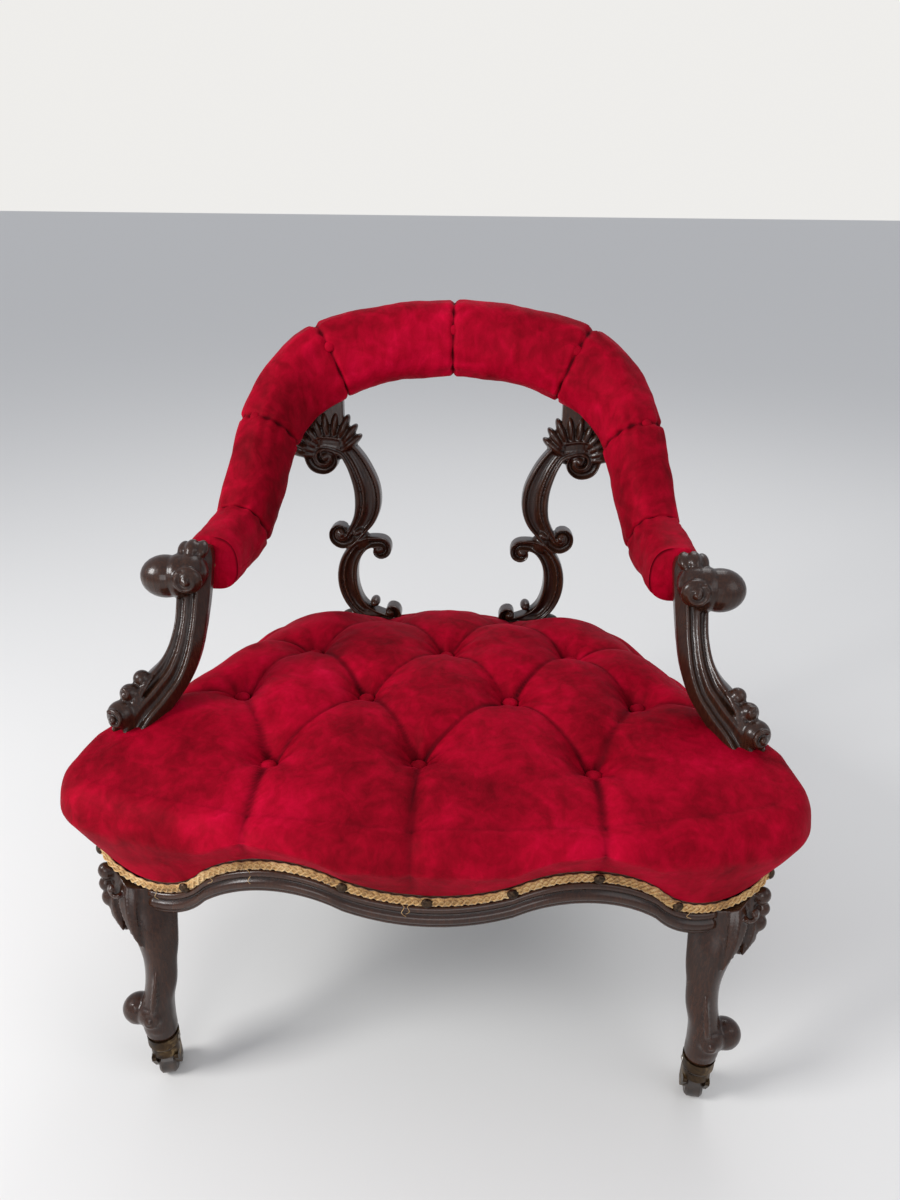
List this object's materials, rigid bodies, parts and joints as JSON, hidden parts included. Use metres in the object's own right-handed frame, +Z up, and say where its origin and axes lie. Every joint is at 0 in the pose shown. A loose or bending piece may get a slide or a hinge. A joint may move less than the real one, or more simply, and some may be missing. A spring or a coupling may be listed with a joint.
{
  "type": "balloon back chair",
  "caption": "Low upholstered chair with a deep-buttoned seat, a padded hoop back running into scrolled arm supports, carved back splats and cabriole legs on castors.",
  "frame": {"origin": "on the floor, under the middle of the whole chair", "axes": "+X towards the sitter's left (the right of the picture), +Y from the seat's front to its back, +Z up; the sitter faces -Y"},
  "size_m": [0.7, 0.5631, 0.7117],
  "materials": {
    "show_wood": "dark polish, worn",
    "frame_wood": "unpolished",
    "velvet": "crushed velvet",
    "braid": "scalloped gimp braid",
    "nail_metal": "dark antiqued",
    "screw_steel": "satin",
    "webbing_jute": "woven",
    "black_cloth": "matt",
    "aged_brass": "aged",
    "wheel_ceramic": "worn"
  },
  "bodies": {
    "chair": {"front_rail": "show_wood", "back_rail": "show_wood", "side_rail_left": "show_wood", "side_rail_right": "show_wood", "front_leg_left": "show_wood", "front_leg_right": "show_wood", "rear_leg_left": "show_wood", "rear_leg_right": "show_wood", "arm_support_left": "show_wood", "arm_support_right": "show_wood", "back_splat_left": "show_wood", "back_splat_right": "show_wood", "crest_rail": "frame_wood", "hoop_side_left": "frame_wood", "hoop_side_right": "frame_wood", "hoop_dowels": "frame_wood", "rail_dowels": "frame_wood", "corner_blocks": "frame_wood", "hoop_pad": "velvet", "hoop_buttons": "velvet", "seat_cushion": "velvet", "seat_buttons": "velvet", "gimp_braid": "braid", "gimp_nails": "nail_metal", "block_screws": "screw_steel", "castor_screws": "screw_steel", "seat_springs": "screw_steel", "webbing": "webbing_jute", "hessian": "webbing_jute", "dust_cover": "black_cloth", "castor_cup_front_left": "aged_brass", "castor_cup_front_right": "aged_brass", "castor_cup_rear_left": "aged_brass", "castor_cup_rear_right": "aged_brass"},
    "fork_front_left": {"castor_fork_front_left": "aged_brass", "castor_axle_front_left": "screw_steel"},
    "wheel_front_left": {"castor_wheel_front_left": "wheel_ceramic"},
    "fork_front_right": {"castor_fork_front_right": "aged_brass", "castor_axle_front_right": "screw_steel"},
    "wheel_front_right": {"castor_wheel_front_right": "wheel_ceramic"},
    "fork_rear_left": {"castor_fork_rear_left": "aged_brass", "castor_axle_rear_left": "screw_steel"},
    "wheel_rear_left": {"castor_wheel_rear_left": "wheel_ceramic"},
    "fork_rear_right": {"castor_fork_rear_right": "aged_brass", "castor_axle_rear_right": "screw_steel"},
    "wheel_rear_right": {"castor_wheel_rear_right": "wheel_ceramic"}
  },
  "joints": [
    {"name": "castor_swivel_front_left", "type": "hinge", "parent": "chair", "child": "fork_front_left", "pos_m": [-0.267, -0.2435, 0.045], "axis": [0, 0, 1], "continuous": true},
    {"name": "wheel_spin_front_left", "type": "hinge", "parent": "fork_front_left", "child": "wheel_front_left", "pos_m": [-0.26866, -0.23567, 0.015], "axis": [0.9781, 0.2079, 0], "continuous": true},
    {"name": "castor_swivel_front_right", "type": "hinge", "parent": "chair", "child": "fork_front_right", "pos_m": [0.267, -0.2435, 0.045], "axis": [0, 0, 1], "continuous": true},
    {"name": "wheel_spin_front_right", "type": "hinge", "parent": "fork_front_right", "child": "wheel_front_right", "pos_m": [0.26811, -0.23558, 0.015], "axis": [0.9903, -0.1392, 0], "continuous": true},
    {"name": "castor_swivel_rear_left", "type": "hinge", "parent": "chair", "child": "fork_rear_left", "pos_m": [-0.2, 0.2585, 0.045], "axis": [0, 0, 1], "continuous": true},
    {"name": "wheel_spin_rear_left", "type": "hinge", "parent": "fork_rear_left", "child": "wheel_rear_left", "pos_m": [-0.2, 0.2665, 0.015], "axis": [1, 0, 0], "continuous": true},
    {"name": "castor_swivel_rear_right", "type": "hinge", "parent": "chair", "child": "fork_rear_right", "pos_m": [0.2, 0.2585, 0.045], "axis": [0, 0, 1], "continuous": true},
    {"name": "wheel_spin_rear_right", "type": "hinge", "parent": "fork_rear_right", "child": "wheel_rear_right", "pos_m": [0.2, 0.2665, 0.015], "axis": [1, 0, 0], "continuous": true}
  ]
}
